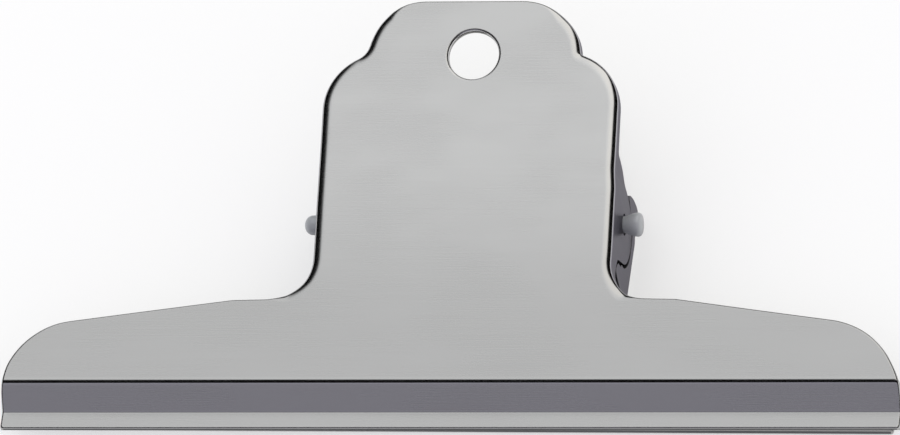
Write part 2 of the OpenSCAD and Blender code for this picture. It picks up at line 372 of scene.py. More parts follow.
# %% [markdown]
# The floor is a plain white sheet. The even room lights half of its white, and light of
# its own, for the camera and for mirrors, makes up the rest. The clip keeps some of the
# room's light off it, and that is its soft, faint shadow.

# %% Floor
FLOOR_HALF = 3.0
FLOOR_MATT = 0.5

floor_mesh = bpy.data.meshes.new("floor")
floor_corners = [(sx * FLOOR_HALF, sy * FLOOR_HALF, 0) for sx, sy in ((-1, -1), (1, -1), (1, 1), (-1, 1))]
floor_mesh.from_pydata(floor_corners, [], [(0, 1, 2, 3)])
floor = bpy.data.objects.new("floor", floor_mesh)
bpy.context.collection.objects.link(floor)
paper = bpy.data.materials.new("white_floor")
g = Graph(paper)
to_camera, to_mirror, through_glass = g.node("LightPath", {}).outputs(
    "Is Camera Ray", "Is Glossy Ray", "Is Transmission Ray")
shows = (to_camera + to_mirror + through_glass).held()
matt = g.node("BsdfDiffuse", {}, {"Color": grey(FLOOR_MATT)})
own = g.node("Emission", {}, {"Color": grey(1.0), "Strength": shows * (1 - FLOOR_MATT)})
g.node("OutputMaterial", {}, {"Surface": g.node("AddShader", {}, (matt, own))})
floor_mesh.materials.append(paper)
print("floor", 2 * FLOOR_HALF, "m wide")

# %% [markdown]
# Nickel-plated sheet has a satin face: the steel was brushed along the jaw before
# plating, so fine streaks run along X. They are drawn twice, as a small change of
# roughness and as a shallow bump, and faint cloudy patches keep the face from
# looking printed. The same recipe, with other grain, serves cut edges, pin and wire.

# %% Metal recipe
CLOUD_ALONG, CLOUD_ACROSS, CLOUD_DETAIL = 18.0, 9.0, 2.0
CLOUD_EDGE = (0.35, 0.65)
# Heights in the object between which the painted shade towards the lip fades in.
JAW_FROM, JAW_TO = -22.0, 6.0
BURNISH, FOLD_DULLING = 0.5, 0.25


def streaks(g, along, across, detail=4.0):
    """Noise drawn out along X: along and across are its sizes in millimetres."""
    place = g.node("TexCoord", {}, out=3)
    scale = (1 / (along * MM), 1 / (across * MM), 1 / (across * MM))
    stretched = g.node("VectorMath", {"operation": "MULTIPLY"}, (place, scale))
    return g.node("TexNoise", {}, {"Vector": stretched, "Scale": 1.0, "Detail": detail})


def noted(g, note):
    """What the press noted on each point: how folded or how burnished it is, from 0 to 1."""
    return g.node("Attribute", {"attribute_name": note}, out=2)


def metal(name, colour, rough, rough_change, grain, grain_depth, patch_change, edge=1.0, shine=1.0,
          jaw_shade_colour=None, painted_fold_shade=None):
    """A metal with grain of (along, across) mm, grain_depth mm deep, and cloudy patches.

    edge is how bright it gets where it is seen nearly edge-on, against a perfect mirror, and
    shine is how much of it is bare metal, the rest being a dull skin of oxide. The fold's colour
    is painted shade: it darkens the sheet where it was folded, standing in for the darker light
    those sides reflect. A metal with a jaw colour turns to it towards the lip, painted shade
    that darkens the lower face, is burnished smooth at the bends, and is a little duller on the
    folded sides.
    """
    material = bpy.data.materials.new(name)
    g = Graph(material)
    fine = streaks(g, *grain)
    cloud = streaks(g, CLOUD_ALONG, CLOUD_ACROSS, CLOUD_DETAIL)
    dull = tuple(c * (1 - patch_change) for c in colour[:3]) + (1.0,)
    tint = g.mixed(cloud.rise(*CLOUD_EDGE), colour, dull)
    roughness = rough + rough_change * (fine - 0.5) + rough_change * (cloud - 0.5)
    # Painted shade: the base colour darkens towards the lip.
    if jaw_shade_colour:
        up, = g.node("SeparateXYZ", {}, (g.node("TexCoord", {}, out=3),)).outputs("Y")
        tint = g.mixed(up.rise(JAW_FROM * MM, JAW_TO * MM), jaw_shade_colour, tint)
        roughness = roughness * (1 - BURNISH * noted(g, "burnished"))
        roughness = roughness * (1 + FOLD_DULLING * noted(g, "folded"))
    # Painted shade: the folded sides are darkened in colour.
    if painted_fold_shade:
        tint = g.mixed(noted(g, "folded"), tint, painted_fold_shade)
    bump = g.node("Bump", {}, {"Height": fine, "Distance": grain_depth * MM, "Strength": 1.0})
    surface = g.node("BsdfPrincipled", {}, {"Base Color": tint, "Metallic": shine, "Normal": bump,
                                            "Roughness": roughness, "Specular Tint": grey(edge)})
    g.node("OutputMaterial", {}, {"Surface": surface})
    return material


print("metal recipe ready")

# %% [markdown]
# Five finishes cover the clip. The plates' faces are brushed nickel, with painted shade that darkens
# them towards the lip and on the folded sides. Where the blank was cut the steel is bare and coarser,
# and under the lip its cut edge is painted darker still, as shade in the gap between the lips. The
# pin's ends were hammered after plating, so a dull skin is left on them, and the wire is drawn
# steel that was never polished.

# %% Metal finishes
FINE_GRAIN, SHEARED_GRAIN = (14.0, 0.09), (0.6, 0.05)
# Nickel's jaw and fold colours are painted shade, darker towards the lip and on the folded sides.
nickel = metal("brushed_nickel", grey(0.67, 0.004), rough=0.26, rough_change=0.09, grain=FINE_GRAIN,
               grain_depth=0.0009, patch_change=0.04, edge=0.42, jaw_shade_colour=grey(0.56, 0.004),
               painted_fold_shade=(0.27, 0.26, 0.3, 1.0))
# The sheared edge's fold colour is painted shade on the folded sides.
sheared = metal("sheared_edge", grey(0.42, 0.02), rough=0.38, rough_change=0.1, grain=SHEARED_GRAIN,
                grain_depth=0.004, patch_change=0.12, painted_fold_shade=(0.13, 0.125, 0.14, 1.0))
# Bare cut steel, painted darker still: painted shade of the gap between the lips.
lip_edge = metal("lip_edge", grey(0.13, -0.03), rough=0.42, rough_change=0.1, grain=SHEARED_GRAIN,
                 grain_depth=0.004, patch_change=0.12, edge=0.5)
pin_steel = metal("peened_pin", grey(0.53, -0.03), rough=0.42, rough_change=0.12, grain=(0.5, 0.3),
                  grain_depth=0.006, patch_change=0.12, edge=0.7, shine=0.2)
spring_steel = metal("spring_wire", grey(0.34, 0.01), rough=0.36, rough_change=0.1, grain=(0.4, 0.25),
                     grain_depth=0.003, patch_change=0.15)
plate_finishes = (nickel, sheared, lip_edge)
NICKEL, SHEARED, LIP_EDGE_SHADE = range(3)
print("finishes", [m.name for m in plate_finishes + (pin_steel, spring_steel)])

# %% [markdown]
# A pressing starts as a flat blank. Its outline is a list of places with the
# direction that points out of the sheet there. Straight runs need only their ends,
# and round stretches come from one arc function.

# %% Outline helpers
ARC_STEP = 4.0
NOTCH_STEP = 12.0
CORNER_STEP = 15.0
SAME_PLACE = 1e-4


def line(start, end, steps=1):
    """Places along a straight edge, whose outside is on its left seen from start to end."""
    dx, dy = end[0] - start[0], end[1] - start[1]
    size = math.hypot(dx, dy)
    normal = (-dy / size, dx / size)
    return [(start[0] + dx * i / steps, start[1] + dy * i / steps) + normal for i in range(steps + 1)]


def arc(centre, radius, from_deg, to_deg, step_deg=ARC_STEP, hollow=False):
    """Places along an arc. A hollow arc's outside is towards its centre."""
    count = max(2, math.ceil(abs(to_deg - from_deg) / step_deg))
    side = -1 if hollow else 1
    points = []
    for i in range(count + 1):
        a = math.radians(from_deg + (to_deg - from_deg) * i / count)
        c, s = math.cos(a), math.sin(a)
        points.append((centre[0] + radius * c, centre[1] + radius * s, side * c, side * s))
    return points


def apart(a, b):
    return math.hypot(a[0] - b[0], a[1] - b[1])


def whole_loop(half, left_half=None):
    """The right half, from the top to the foot, and then the left one mirrored back up."""
    left = [(-x, y, -nx, ny) for x, y, nx, ny in reversed(left_half or half)]
    loop = []
    for place in half + left:
        if not loop or apart(place, loop[-1]) > SAME_PLACE:
            loop.append(place)
    if apart(loop[0], loop[-1]) < SAME_PLACE:
        loop.pop()
    return loop


print("a quarter arc has", len(arc((0, 0), 1, 90, 0)), "places")

# %% [markdown]
# Below its fold the sheet turns back to a valley and flares out again as a lip.
# The blank is built flat and every point is then carried along this bent path, as
# a press does it, so the rounded jaw ends follow the fold by themselves.

# %% The folded lip
fold_out = math.atan2(valley_depth, fold_height - valley_height)
fold_back = math.atan2(valley_depth - lip_depth, valley_height)
blank_fold = fold_height + fold_radius * math.tan(fold_out / 2)
NOTHING_LEFT = 1e-9


def lip_path():
    """Runs of the outer face from the fold down: (length, turn), with turn 0 for straight ones."""
    first = fold_radius * math.tan(fold_out / 2)
    second = valley_radius * math.tan((fold_out + fold_back) / 2)
    band = math.hypot(valley_depth, fold_height - valley_height) - first - second
    lip = math.hypot(valley_depth - lip_depth, valley_height) - second
    return [(fold_radius * fold_out, fold_out), (band, 0.0),
            (valley_radius * (fold_out + fold_back), -(fold_out + fold_back)), (lip, 0.0)]


LIP_RUNS = lip_path()
run_starts = [blank_fold - sum(length for length, turn in LIP_RUNS[:i]) for i in range(len(LIP_RUNS) + 1)]
blank_foot = run_starts[-1]
BENDS = [(run_starts[1], run_starts[0]), (run_starts[3], run_starts[2])]


def blank_at(folded_height):
    """The blank's height that ends up at a given height on the lip."""
    return blank_foot + folded_height / math.cos(fold_back)


def pressed(height, depth):
    """Carries a place of the flat blank into the folded sheet."""
    if height >= blank_fold:
        return height, depth
    left = blank_fold - height
    y, z, heading = blank_fold, 0.0, 0.0
    for length, turn in LIP_RUNS:
        part = min(1.0, left / length)
        swing = turn * part
        chord = 2 * (length / abs(turn)) * math.sin(abs(swing) / 2) if turn else length * part
        y -= chord * math.cos(heading + swing / 2)
        z += chord * math.sin(heading + swing / 2)
        heading += swing
        left -= length * part
        if left <= NOTHING_LEFT:
            break
    return y + depth * math.sin(heading), z + depth * math.cos(heading)


print("blank foot at", round(blank_foot, 2), "mm,",
      "folded foot at", [round(v, 2) for v in pressed(blank_foot, 0)])

# %% [markdown]
# A flat face has no points inside it, so it can't bend. Rows of edges are cut across
# the blank wherever the press bends it, and one beside each bend keeps the shading of
# the straight runs flat.

# %% Rows across the folds
ROWS_PER_BEND = 8
ROW_ABOVE_FOLD = 0.3
BESIDE_BEND = (0.08, 0.92)
ROW_OFF_FOOT = 0.05


def fold_rows():
    """Heights on the blank where the mesh needs an edge: across each bend, and beside it."""
    rows = [blank_fold + ROW_ABOVE_FOLD]
    for start, (length, turn) in zip(run_starts, LIP_RUNS):
        steps = ROWS_PER_BEND if turn else 1
        rows += [start - length * i / steps for i in range(steps + 1)]
        if not turn:
            rows += [start - length * share for share in BESIDE_BEND]
    rows = sorted(set(round(r, 5) for r in rows))
    return [r for r in rows if r > blank_foot + ROW_OFF_FOOT]


print(len(fold_rows()), "rows across the folds")

# %% [markdown]
# Both plates share the jaw. A hollow corner leads from the handle to the wing, whose
# upper edge falls gently outwards and runs tangent into a large corner arc. The
# lip's lower corners are only just rounded.

# %% Jaw outline
WING_STEPS = 4


def wing_top(x):
    return wing_height - (x - handle_half - hollow_radius) * math.tan(wing_fall)


def jaw_half_outline(side_half, half, foot):
    """The right half of a jaw, from the top of the hollow corner to the middle of the lip."""
    cx = half - corner_radius
    cy = wing_top(cx) - corner_radius / math.cos(wing_fall)
    hollow = (side_half + hollow_radius, hollow_foot + hollow_radius)
    wing_start = (hollow[0] + hollow_run, wing_top(hollow[0] + hollow_run))
    wing_end = (cx + corner_radius * math.sin(wing_fall), cy + corner_radius * math.cos(wing_fall))
    edge = arc(hollow, hollow_radius, 180, 270, hollow=True)
    edge += line((hollow[0], hollow_foot), wing_start)[1:]
    edge += line(wing_start, wing_end, WING_STEPS)[1:]
    edge += arc((cx, cy), corner_radius, 90 - math.degrees(wing_fall), 0)
    edge += arc((half - lip_corner, foot + lip_corner), lip_corner, 0, -90, CORNER_STEP)
    return edge + [(0.0, foot, 0.0, -1.0)]


print("wing falls to", round(wing_top(jaw_half - corner_radius), 2), "mm")

# %% [markdown]
# The handle's sides are folded back. How deep the fold is at each height is the
# plate's side view, a list of (height, depth). Sampling that side view by its own
# points keeps the ear's circle true.

# %% Helpers for side views
EASE_SHARE, EASE_REACH = 0.25, 0.5
EAR_STEPS = 28
pin_centre = (pin_height, pin_depth)


def touch(point, radius, side):
    """Angle on the ear's circle where a line from a point just touches it."""
    dy, dz = point[0] - pin_centre[0], point[1] - pin_centre[1]
    return math.atan2(dz, dy) + side * math.acos(radius / math.hypot(dy, dz))


def ear_arc(radius, start, end, steps):
    return [(pin_centre[0] + radius * math.cos(start + (end - start) * i / steps),
             pin_centre[1] + radius * math.sin(start + (end - start) * i / steps)) for i in range(steps + 1)]


def eased(points, passes=2):
    """Cuts the corners of a side view a little, as a punch leaves them."""
    for _ in range(passes):
        cut = [points[0]]
        for a, b in zip(points, points[1:]):
            near = min(EASE_SHARE, EASE_REACH / apart(a, b))
            for share in (near, 1 - near):
                cut.append((a[0] + (b[0] - a[0]) * share, a[1] + (b[1] - a[1]) * share))
        points = cut + [points[-1]]
    return points


def depth_at(view, height):
    """How deep the fold is at a height."""
    for (h0, d0), (h1, d1) in zip(view, view[1:]):
        if h0 >= height >= h1 and h0 > h1:
            return d0 + (d1 - d0) * (h0 - height) / (h0 - h1)
    return sheet


print("pin centre at", [round(v, 2) for v in pin_centre])

# %% [markdown]
# The front plate's fold is shallow on the head and deeper at the shoulders, and then
# runs out to a round ear at the pin. It fades to a plain edge again in the hollow
# corner above the wing.

# %% Side view of the front plate
HEAD_FOLD, NOTCH_FOLD, SHOULDER_FOLD, KNEE_FOLD = 1.9, 2.1, 2.5, 2.4
EAR_TOP = [(41.5, 2.6), (41.2, 4.0), (40.3, 6.4), (38.95, 8.3)]
EAR_BELOW = (26.6, 4.8)
HEAD_FADE_PART, HEAD_FOLD_PART = 12, 3
fade_height = plate_height - head_radius / HEAD_FADE_PART
notch_slant = (handle_half - shoulder_radius + shoulder_radius * math.cos(shoulder_turn)
               - head_half) / math.sin(shoulder_turn)
notch_height = (shoulder_height + shoulder_radius * math.sin(shoulder_turn)
                + notch_slant * math.cos(shoulder_turn))
low_fade = hollow_foot + 0.15
low_knee = hollow_foot + 1.3


def front_side_view():
    start, end = touch(EAR_TOP[-1], front_ear_radius, 1), touch(EAR_BELOW, front_ear_radius, -1)
    if end < start:
        end += 2 * math.pi
    points = [(plate_height, sheet), (fade_height, sheet),
              (plate_height - head_radius / HEAD_FOLD_PART, HEAD_FOLD),
              (notch_height, NOTCH_FOLD), (shoulder_height, SHOULDER_FOLD)] + EAR_TOP
    points += ear_arc(front_ear_radius, start, end, EAR_STEPS)
    points += [EAR_BELOW, (low_knee, KNEE_FOLD), (low_fade, sheet), (hollow_foot, sheet)]
    return eased(points)


front_view = front_side_view()
print("front ear reaches", round(max(depth for height, depth in front_view), 1), "mm back")

# %% [markdown]
# The rear plate's sides stand at the same width, so they leave a round gap for the
# turning front ears. A horn rises between that gap and the jaw.

# %% Side view of the rear plate
rear_side_top, rear_side_depth = 41.7, 6.9
rear_side_half = handle_half + 0.08
horn_height, horn_depth, horn_face = 24.0, 9.6, 26.6
REAR_TOP = [(0.15, sheet), (-0.25, 2.4), (-0.75, 4.4), (-1.9, rear_side_depth)]
HORN_ROUND = 0.4
HORN_FOOT_FOLD = 2.2


def rear_side_view():
    radius = ear_radius + sweep_gap
    reach = math.asin((pin_depth - rear_side_depth) / radius)
    points = [(plate_height, sheet)] + [(rear_side_top + rise, depth) for rise, depth in REAR_TOP]
    points += ear_arc(radius, -reach, reach - math.pi, EAR_STEPS)
    points += [(horn_face, rear_side_depth), (horn_face - sheet, horn_depth - HORN_ROUND * sheet),
               (horn_height, horn_depth), (horn_height - sheet, horn_depth - sheet),
               (hollow_foot + hollow_radius / 2, HORN_FOOT_FOLD), (low_fade, sheet), (hollow_foot, sheet)]
    return eased(points, 1)


rear_view = rear_side_view()
print("rear sides", rear_side_depth, "mm deep, horn", horn_depth, "mm")

# %% [markdown]
# Between the head and the shoulder there is a notch. A tight one ends on the
# shoulder's slant, and a wide one has to run straight into the shoulder's arc, so
# its centre is found where a circle just touches both arcs.

# %% Notch under the head
head_place = (head_half - head_radius, plate_height - head_radius)
head_centre = Vector(head_place)
shoulder_centre = Vector((handle_half - shoulder_radius, shoulder_height))


def heading_to(centre, start):
    way = centre - start
    return math.atan2(way.y, way.x)


def notch_arc(radius):
    """Centre of the notch's arc, and the directions in which it leaves the head and meets the shoulder."""
    slant = Vector((math.cos(shoulder_turn), math.sin(shoulder_turn)))
    off_slant = radius + shoulder_radius - (head_centre - shoulder_centre).dot(slant)
    meet = shoulder_turn - math.acos(off_slant / (head_radius + radius))
    centre = head_centre + (head_radius + radius) * Vector((math.cos(meet), math.sin(meet)))
    if (centre - shoulder_centre).dot(Vector((-slant.y, slant.x))) >= 0:
        return centre, meet, shoulder_turn
    across = shoulder_centre - head_centre
    to_head, to_shoulder = head_radius + radius, shoulder_radius + radius
    share = (to_head ** 2 - to_shoulder ** 2 + across.length_squared) / (2 * across.length)
    out = math.sqrt(to_head ** 2 - share ** 2)
    across.normalize()
    centre = head_centre + share * across + out * Vector((-across.y, across.x))
    return centre, heading_to(centre, head_centre), heading_to(centre, shoulder_centre)


print("notch centre", [round(v, 2) for v in notch_arc(notch_radius)[0]])

# %% [markdown]
# With those parts, each plate's right half is one list from the top of the head to
# the middle of the lip. The rear handle is narrower above its ears, with a small
# step, and the same head.

# %% Handle outlines
REAR_STEP_RISE = 0.6
REAR_CORNER = 0.9


def straight_side(half, view, top):
    """The folded side, sampled where its side view has points."""
    foot = hollow_foot + hollow_radius
    heights = [top] + [h for h, d in view if foot < h < top] + [foot]
    return [(half, h, 1.0, 0.0) for h in heights]


def front_half_outline(radius):
    """The front blank's right half, with a notch of the given radius under the head."""
    notch_centre, meet, turn = notch_arc(radius)
    meet, turn = math.degrees(meet), math.degrees(turn)
    edge = [(0.0, plate_height, 0.0, 1.0)]
    edge += arc(head_centre, head_radius, 90, meet)
    edge += arc(notch_centre, radius, 180 + meet, 180 + turn, NOTCH_STEP, hollow=True)
    edge += arc(shoulder_centre, shoulder_radius, turn, 0)
    edge += straight_side(handle_half, front_view, shoulder_height)
    return edge + jaw_half_outline(handle_half, jaw_half, blank_at(front_foot))


def rear_half_outline():
    step = rear_side_top + REAR_STEP_RISE
    step_corner = (head_half + notch_radius, step + notch_radius)
    edge = [(0.0, plate_height, 0.0, 1.0)]
    edge += arc(head_place, head_radius, 90, 0)
    edge += arc(step_corner, notch_radius, 180, 270, CORNER_STEP, hollow=True)
    edge += arc((rear_side_half - REAR_CORNER, step - REAR_CORNER), REAR_CORNER, 90, 0, CORNER_STEP)
    edge += straight_side(rear_side_half, rear_view, step - REAR_CORNER)
    return edge + jaw_half_outline(rear_side_half, rear_jaw_half, blank_at(rear_foot - rear_foot_drop))


front_loop = whole_loop(front_half_outline(notch_radius), front_half_outline(left_notch_radius))
rear_loop = whole_loop(rear_half_outline())
print("outlines of", len(front_loop), "and", len(rear_loop), "places")

# %% [markdown]
# One cross-section serves the whole rim of a plate. It comes off the outer face,
# turns round the bend, runs down the fold, round the cut edge, and back up the
# inside. Where nothing is folded the same section shrinks to a plain cut edge.

# %% The rim's cross-section
FLAT_POINTS = 2
ROLL_STEPS = 5
BEND_STEPS = 7
BURR_STEPS = 5
INNER_STEPS = 4
RIM_INSET = 0.2
FLAT_STRIP = 0.06
INNER_STRIP = 0.1
LEAST_BURR = 0.03
BURR_FACET = 0.3
LEAST_WALL, WALL_GROWTH = 0.2, 0.3
WALL_FACE = FLAT_POINTS + ROLL_STEPS + BEND_STEPS
EDGE_FACES = range(WALL_FACE + 1, WALL_FACE + 1 + BURR_STEPS)


def outer_bend(full):
    """From the flat face to the wall: a wide roll and then the tight bend, as (in from the edge, depth)."""
    roll = edge_bend + (roll_radius - edge_bend) * full
    tight = edge_bend + (bend_radius - edge_bend) * full
    ct, st = math.cos(roll_turn), math.sin(roll_turn)
    points = []
    for i in range(ROLL_STEPS):
        a = roll_turn * i / ROLL_STEPS
        points.append((roll * math.sin(a), roll * (1 - math.cos(a))))
    for i in range(BEND_STEPS + 1):
        a = roll_turn + (math.pi / 2 - roll_turn) * i / BEND_STEPS
        points.append((roll * st + tight * (math.sin(a) - st), roll * (1 - ct) + tight * (ct - math.cos(a))))
    reach = points[-1][0]
    return [(reach - x, z) for x, z in points]


def rim_section(depth, full):
    """Pairs of (distance in from the outline, depth), from the outer face to the inner one."""
    fold = max(depth - sheet, 0.0)
    burr = min(burr_round, fold / 2 + LEAST_BURR)
    inner_burr = min(burr, fold)
    inner = min(inner_bend, fold / 2)
    wall = LEAST_WALL + (sheet - LEAST_WALL) * min(1.0, fold / WALL_GROWTH)
    foot = sheet + fold
    bend = outer_bend(full)
    inset = bend[0][0] + RIM_INSET
    section = [(inset, 0.0), (bend[0][0] + FLAT_STRIP, 0.0)] + bend
    section += [(0.0, foot - burr), (BURR_FACET * burr, foot - BURR_FACET * burr), (burr, foot)]
    section += [(wall - burr, foot), (wall - BURR_FACET * burr, foot - BURR_FACET * inner_burr),
                (wall, foot - inner_burr)]
    for i in range(INNER_STEPS + 1):
        a = math.pi / 2 * i / INNER_STEPS
        section.append((wall + inner - inner * math.cos(a), sheet + inner - inner * math.sin(a)))
    section.append((max(inset, wall + inner + INNER_STRIP), sheet))
    return section


def fullness(depth):
    """The bend grows with the fold's depth, so a fold fades into a plain edge."""
    return min(1.0, max(0.0, (depth - sheet) / bend_radius))


print("a section has", len(rim_section(sheet, 0.0)), "points")

# %% [markdown]
# The blank becomes a closed mesh: the rim's sections are joined round the outline
# and round the hanging hole, and the outer and inner faces between those loops are
# filled flat. Each point also keeps how fully it is folded, for the finish to read.

# %% Rim and faces


def closed_rim(mesh, sections, shares):
    """Joins sections into a band round a loop and returns its first and last edges' vertices.

    shares says how fully the sheet is folded at each section, and the points keep it.
    """
    rings = [[mesh.verts.new(p) for p in section] for section in sections]
    folded = mesh.verts.layers.float["folded"]
    for ring, share in zip(rings, shares):
        for j, vert in enumerate(ring[:-1]):
            vert[folded] = share * ramp(j, FLAT_POINTS + ROLL_STEPS, WALL_FACE)
    for i, ring in enumerate(rings):
        after = rings[(i + 1) % len(rings)]
        for j in range(len(ring) - 1):
            face = mesh.faces.new((ring[j], ring[j + 1], after[j + 1], after[j]))
            plain_wall = j == WALL_FACE and ring[j + 1].co.z - ring[j].co.z < sheet
            face.material_index = SHEARED if plain_wall or j in EDGE_FACES else NICKEL
    return [ring[0] for ring in rings], [ring[-1] for ring in rings]


def flat_faces(mesh, loops, across, up):
    """Fills between loops of vertices, laid flat by two of their coordinates."""
    verts = [v for loop in loops for v in loop]
    flat = [[Vector((v.co[across], v.co[up], 0)) for v in loop] for loop in loops]
    return [[verts[i] for i in face] for face in tessellate_polygon(flat)]


def fill_between(mesh, loops, upward):
    """Fills the flat space inside the first loop and outside the others."""
    for corners in flat_faces(mesh, loops, 0, 1):
        turn = (corners[1].co - corners[0].co).cross(corners[2].co - corners[0].co).z
        mesh.faces.new(corners if (turn > 0) == upward else corners[::-1])


def section_ring(place, section):
    """A section stood up at a place of the outline."""
    x, y, nx, ny = place
    return [(x - nx * u, y - ny * u, d) for u, d in section]


print("cut edge takes", len(EDGE_FACES), "faces of each section")

# %% [markdown]
# The pin passes through the folded walls, where no outline can have a hole. A patch
# of the wall is taken out, and the space between its edge and a round rim is filled
# again, on both faces of the sheet.

# %% Holes for the pin
DRILL_REACH = 4.6
DRILL_SIDES = 48


def outer_loop(faces):
    """The corners round a patch of faces, in order."""
    after = {}
    for face in faces:
        for edge in face.edges:
            if sum(other in faces for other in edge.link_faces) == 1:
                loop = next(l for l in face.loops if l.edge == edge)
                after[loop.vert] = loop.link_loop_next.vert
    start = next(iter(after))
    corners = [start]
    while after[corners[-1]] != start:
        corners.append(after[corners[-1]])
    return corners


def drill_walls(mesh, side, radius):
    """A round hole for the pin through the folded wall on one side (1 or -1)."""
    folded = mesh.verts.layers.float["folded"]
    rims = []
    for x in (side * handle_half, side * (handle_half - sheet)):
        near = {f for f in mesh.faces if all(abs(v.co.x - x) < SAME_PLACE for v in f.verts)
                and abs(f.calc_center_median().y - pin_height) < DRILL_REACH}
        edge = outer_loop(near)
        bmesh.ops.delete(mesh, geom=list(near), context="FACES_ONLY")
        loose = [e for e in mesh.edges if not e.link_faces]
        bmesh.ops.delete(mesh, geom=loose, context="EDGES")
        rim = [mesh.verts.new((x, h, d)) for h, d in ear_arc(radius, 0, 2 * math.pi, DRILL_SIDES)[:-1]]
        for vert in rim:
            vert[folded] = 1.0
        for corners in flat_faces(mesh, (edge, rim), 1, 2):
            mesh.faces.new(corners)
        rims.append(rim)
    for i in range(DRILL_SIDES):
        n = (i + 1) % DRILL_SIDES
        mesh.faces.new((rims[0][i], rims[0][n], rims[1][n], rims[1][i]))


print("pin holes of", 2 * (pin_radius + pin_clear), "mm")

# %% [markdown]
# Two things are worked out for every plate before it is pressed: the rim's section at
# each place of the outline, and where the tool rubs the bends bright. The finish
# reads the second from the points, as it reads how folded they are.

# %% Sections and rubbed bends
THINNEST_FOLD = 0.03
RUB_START, RUB_END = (0.02, 0.2), (0.6, 0.95)
RUB_OUTSIDE, RUB_INSIDE = 0.25, 0.1


def mark_bends(mesh, bend_spans):
    """Notes on each point how burnished it is by a bend."""
    burnished = mesh.verts.layers.float["burnished"]
    for vert in mesh.verts:
        height, depth = vert.co.y, vert.co.z
        rubbed = ramp(depth, *RUB_START) * (1 - ramp(depth, *RUB_END))
        for low, high in bend_spans:
            rubbed = max(rubbed, ramp(height, low - RUB_OUTSIDE, low + RUB_INSIDE)
                         * (1 - ramp(height, high - RUB_INSIDE, high + RUB_OUTSIDE)))
        vert[burnished] = rubbed


def folded_sections(outline, view):
    """The rim's section at each place of the outline, and how fully it is folded there."""
    sections, shares = [], []
    for place in outline:
        on_top = abs(place[0]) <= head_half - head_radius and place[1] > fade_height
        depth = sheet if on_top else depth_at(view, place[1])
        if depth < sheet + THINNEST_FOLD:
            depth = sheet
        shares.append(fullness(depth))
        sections.append(section_ring(place, rim_section(depth, shares[-1])))
    return sections, shares


print("folds under", THINNEST_FOLD, "mm count as plain sheet")

# %% [markdown]
# Now the press: the rim, the hole and the faces are made flat, rows of edges are cut
# across them, and every point is carried to its place.

# %% Build a pressing
FOOT_BAND = 0.02
HOLE_STEP = 6.0
CUT_TOLERANCE = 1e-5


def finished_mesh(name, mesh):
    """Turns a closed bmesh's faces outwards and keeps it as a mesh."""
    bmesh.ops.recalc_face_normals(mesh, faces=mesh.faces)
    data = bpy.data.meshes.new(name)
    mesh.to_mesh(data)
    mesh.free()
    return data


def pressing(name, outline, view, hole, rows, bend_spans, to_frame, bore=0.0):
    """A pressed sheet: its rim, its round hole and its faces, cut across at rows and set in place.

    hole is its (centre, radius, how rounded its edge is), and a bore goes through both walls.
    """
    mesh = bmesh.new()
    for note in ("folded", "burnished"):
        mesh.verts.layers.float.new(note)
    outer, inner = closed_rim(mesh, *folded_sections(outline, view))
    centre, radius, round_over = hole
    circle = arc(centre, radius, 360, 0, HOLE_STEP, hollow=True)[:-1]
    hole_sections = [section_ring(place, rim_section(sheet, round_over)) for place in circle]
    hole_outer, hole_inner = closed_rim(mesh, hole_sections, [0.0] * len(circle))
    fill_between(mesh, [outer, hole_outer], True)
    fill_between(mesh, [inner, hole_inner], False)
    bmesh.ops.remove_doubles(mesh, verts=mesh.verts, dist=SAME_PLACE)
    for side in (1, -1) if bore else ():
        drill_walls(mesh, side, bore)
    for row in rows:
        everything = mesh.verts[:] + mesh.edges[:] + mesh.faces[:]
        bmesh.ops.bisect_plane(mesh, geom=everything, plane_co=(0, row, 0), plane_no=(0, 1, 0),
                               dist=CUT_TOLERANCE)
    foot_band = min(place[1] for place in outline) + FOOT_BAND
    # Cut faces along the foot take the darker finish, which is painted shade of the gap between the lips.
    for face in mesh.faces:
        if face.material_index == SHEARED and max(v.co.y for v in face.verts) < foot_band:
            face.material_index = LIP_EDGE_SHADE
    mark_bends(mesh, bend_spans)
    for vert in mesh.verts:
        vert.co = to_frame(vert.co.x, vert.co.y, vert.co.z) * MM
    return finished_mesh(name, mesh)


print("holes drawn with", round(360 / HOLE_STEP), "sides")

# %% [markdown]
# A plate adds the lip's fold and the level cut at its foot. Shading it smooth and
# then marking the sharp edges by angle gives soft bends with crisp burrs, and
# weighted normals keep the broad faces flat.

# %% Front plate
SHARP_DEG = 38.0
HOLE_ROUND = 0.1


def plate(name, loop, view, to_frame, foot, bore=0.0):
    """A whole plate: its blank is pressed through the lip's fold, cut level at the foot and set in place."""
    def placed(x, height, depth):
        folded_height, folded_depth = pressed(height + lift(x, height), depth)
        return to_frame(x + drift(height) + swell(x, height), max(folded_height, foot), folded_depth)
    hole = ((0.0, hole_height), hole_radius, HOLE_ROUND)
    return pressing(name, loop, view, hole, fold_rows(), BENDS, placed, bore)


def smooth_object(name, data, materials, sharp_deg=SHARP_DEG):
    """An object of a mesh with its finishes, smooth but for its sharp edges."""
    for material in materials:
        data.materials.append(material)
    data.shade_smooth()
    data.set_sharp_from_angle(angle=math.radians(sharp_deg))
    piece = bpy.data.objects.new(name, data)
    bpy.context.collection.objects.link(piece)
    shading = piece.modifiers.new("flat_faces_stay_flat", "WEIGHTED_NORMAL")
    shading.keep_sharp = True
    return piece


front_data = plate("front_pressing", front_loop, front_view, front_point, front_foot, pin_radius + pin_clear)
front_piece = smooth_object("front_pressing", front_data, plate_finishes)
print("front pressing", len(front_data.vertices), "points")

# %% [markdown]
# The rear plate comes off the same press. Its ears are still missing, because they
# stand inside its folded sides and need a blank of their own.

# %% Rear plate
rear_data = plate("rear_pressing", rear_loop, rear_view, rear_point, rear_foot - rear_foot_drop)
print("rear pressing", len(rear_data.vertices), "points")

